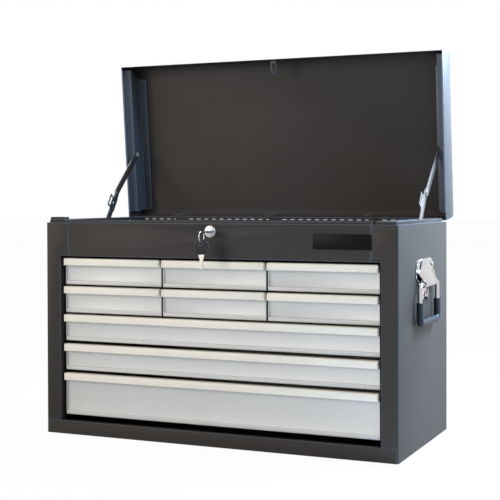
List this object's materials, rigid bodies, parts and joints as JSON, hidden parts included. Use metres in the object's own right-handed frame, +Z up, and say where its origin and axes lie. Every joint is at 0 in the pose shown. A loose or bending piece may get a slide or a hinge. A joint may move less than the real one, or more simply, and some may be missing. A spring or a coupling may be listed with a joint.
{
  "type": "tool chest",
  "caption": "Steel tool chest with stacked drawers under a till with a hinged, stay-held lid, a front lock and folding side handles.",
  "frame": {"origin": "middle of the base's footprint, on the floor", "axes": "+X to the right seen from the front, +Y to the back, +Z up; the drawers face -Y"},
  "size_m": [0.6884, 0.3982, 0.6934],
  "materials": {
    "case_paint": "fine textured black powder coat",
    "drawer_paint": "satin light grey enamel",
    "pull_plastic": "satin cream moulding",
    "zinc": "bright zinc plate",
    "chrome": "polished chrome plate",
    "dark_steel": "dark steel",
    "grip": "matte black sleeve",
    "key_black": "black head on a brass blade",
    "badge": "bare gloss black plate"
  },
  "bodies": {
    "case": {"side_panel_left": "case_paint", "side_panel_right": "case_paint", "back_panel": "case_paint", "base_pan": "case_paint", "header_rail": "case_paint", "till_floor": "case_paint", "rim_rail_left": "case_paint", "rim_rail_right": "case_paint", "tool_rack_strip": "case_paint", "drawer_partitions": "case_paint", "cabinet_slides": "case_paint", "hinge_case_leaves": "dark_steel", "lock_housing": "chrome", "badge_plate": "badge", "stay_brackets": "zinc", "handle_plate_left": "chrome", "handle_plate_right": "chrome", "handle_rivets": "chrome"},
    "lid": {"lid_skin": "case_paint", "lid_end_left": "case_paint", "lid_end_right": "case_paint", "lid_channel_left": "case_paint", "lid_channel_right": "case_paint", "lid_catch": "zinc", "hinge_lid_leaves": "dark_steel", "hinge_pins": "dark_steel", "stay_lid_rivets": "zinc"},
    "stay_upper_left": {"stay_upper_left": "zinc"},
    "stay_lower_left": {"stay_lower_left": "zinc", "stay_stop_left": "zinc"},
    "stay_upper_right": {"stay_upper_right": "zinc"},
    "stay_lower_right": {"stay_lower_right": "zinc", "stay_stop_right": "zinc"},
    "lock_plug": {"lock_plug": "chrome", "lock_cam": "zinc", "lock_key": "key_black"},
    "key_ring": {"key_ring": "chrome", "spare_key": "key_black"},
    "drawer_row1_left": {"drawer_tray_row1_left": "drawer_paint", "drawer_pull_row1_left": "pull_plastic"},
    "drawer_row1_centre": {"drawer_tray_row1_centre": "drawer_paint", "drawer_pull_row1_centre": "pull_plastic"},
    "drawer_row1_right": {"drawer_tray_row1_right": "drawer_paint", "drawer_pull_row1_right": "pull_plastic"},
    "drawer_row2_left": {"drawer_tray_row2_left": "drawer_paint", "drawer_pull_row2_left": "pull_plastic"},
    "drawer_row2_centre": {"drawer_tray_row2_centre": "drawer_paint", "drawer_pull_row2_centre": "pull_plastic"},
    "drawer_row2_right": {"drawer_tray_row2_right": "drawer_paint", "drawer_pull_row2_right": "pull_plastic"},
    "drawer_row3": {"drawer_tray_row3": "drawer_paint", "drawer_pull_row3": "pull_plastic"},
    "drawer_row4": {"drawer_tray_row4": "drawer_paint", "drawer_pull_row4": "pull_plastic"},
    "drawer_row5": {"drawer_tray_row5": "drawer_paint", "drawer_pull_row5": "pull_plastic"},
    "bail_left": {"handle_bail_left": "chrome", "handle_grip_left": "grip"},
    "bail_right": {"handle_bail_right": "chrome", "handle_grip_right": "grip"}
  },
  "joints": [
    {"name": "lid_hinge", "type": "hinge", "parent": "case", "child": "lid", "pos_m": [0, 0.1518, 0.3854], "axis": [1, 0, 0], "range_deg": [0, 84.5]},
    {"name": "stay_upper_left_pivot", "type": "hinge", "parent": "lid", "child": "stay_upper_left", "pos_m": [-0.3162, 0.1557, 0.51397], "axis": [1, 0, 0], "range_deg": [-108.7, 0]},
    {"name": "stay_lower_left_pivot", "type": "hinge", "parent": "case", "child": "stay_lower_left", "pos_m": [-0.3142, 0.0129, 0.3518], "axis": [1, 0, 0], "range_deg": [0, 119]},
    {"name": "stay_upper_right_pivot", "type": "hinge", "parent": "lid", "child": "stay_upper_right", "pos_m": [0.3162, 0.1557, 0.51397], "axis": [1, 0, 0], "range_deg": [-108.7, 0]},
    {"name": "stay_lower_right_pivot", "type": "hinge", "parent": "case", "child": "stay_lower_right", "pos_m": [0.3142, 0.0129, 0.3518], "axis": [1, 0, 0], "range_deg": [0, 119]},
    {"name": "lock_turn", "type": "hinge", "parent": "case", "child": "lock_plug", "pos_m": [-0.001, -0.157, 0.3675], "axis": [0, -1, 0], "range_deg": [0, 90]},
    {"name": "key_ring_swing", "type": "hinge", "parent": "lock_plug", "child": "key_ring", "pos_m": [-0.001, -0.1875, 0.36018], "axis": [-1, 0, 0], "range_deg": [0, 130]},
    {"name": "drawer_row1_left_slide", "type": "slide", "parent": "case", "child": "drawer_row1_left", "axis": [0, -1, 0], "range_m": [0, 0.215]},
    {"name": "drawer_row1_centre_slide", "type": "slide", "parent": "case", "child": "drawer_row1_centre", "axis": [0, -1, 0], "range_m": [0, 0.215]},
    {"name": "drawer_row1_right_slide", "type": "slide", "parent": "case", "child": "drawer_row1_right", "axis": [0, -1, 0], "range_m": [0, 0.215]},
    {"name": "drawer_row2_left_slide", "type": "slide", "parent": "case", "child": "drawer_row2_left", "axis": [0, -1, 0], "range_m": [0, 0.215]},
    {"name": "drawer_row2_centre_slide", "type": "slide", "parent": "case", "child": "drawer_row2_centre", "axis": [0, -1, 0], "range_m": [0, 0.215]},
    {"name": "drawer_row2_right_slide", "type": "slide", "parent": "case", "child": "drawer_row2_right", "axis": [0, -1, 0], "range_m": [0, 0.215]},
    {"name": "drawer_row3_slide", "type": "slide", "parent": "case", "child": "drawer_row3", "axis": [0, -1, 0], "range_m": [0, 0.215]},
    {"name": "drawer_row4_slide", "type": "slide", "parent": "case", "child": "drawer_row4", "axis": [0, -1, 0], "range_m": [0, 0.215]},
    {"name": "drawer_row5_slide", "type": "slide", "parent": "case", "child": "drawer_row5", "axis": [0, -1, 0], "range_m": [0, 0.215]},
    {"name": "bail_left_pivot", "type": "hinge", "parent": "case", "child": "bail_left", "pos_m": [-0.338, 0, 0.279], "axis": [0, 1, 0], "range_deg": [0, 90]},
    {"name": "bail_right_pivot", "type": "hinge", "parent": "case", "child": "bail_right", "pos_m": [0.338, 0, 0.279], "axis": [0, -1, 0], "range_deg": [0, 90]}
  ],
  "couplings": [
    {"joint": "stay_upper_left_pivot", "follows": "lid_hinge", "ratio": -1.2806},
    {"joint": "stay_lower_left_pivot", "follows": "lid_hinge", "ratio": 1.402},
    {"joint": "stay_upper_right_pivot", "follows": "lid_hinge", "ratio": -1.2806},
    {"joint": "stay_lower_right_pivot", "follows": "lid_hinge", "ratio": 1.402},
    {"joint": "key_ring_swing", "follows": "drawer_row1_centre_slide", "rad_per_m": 10.472}
  ]
}
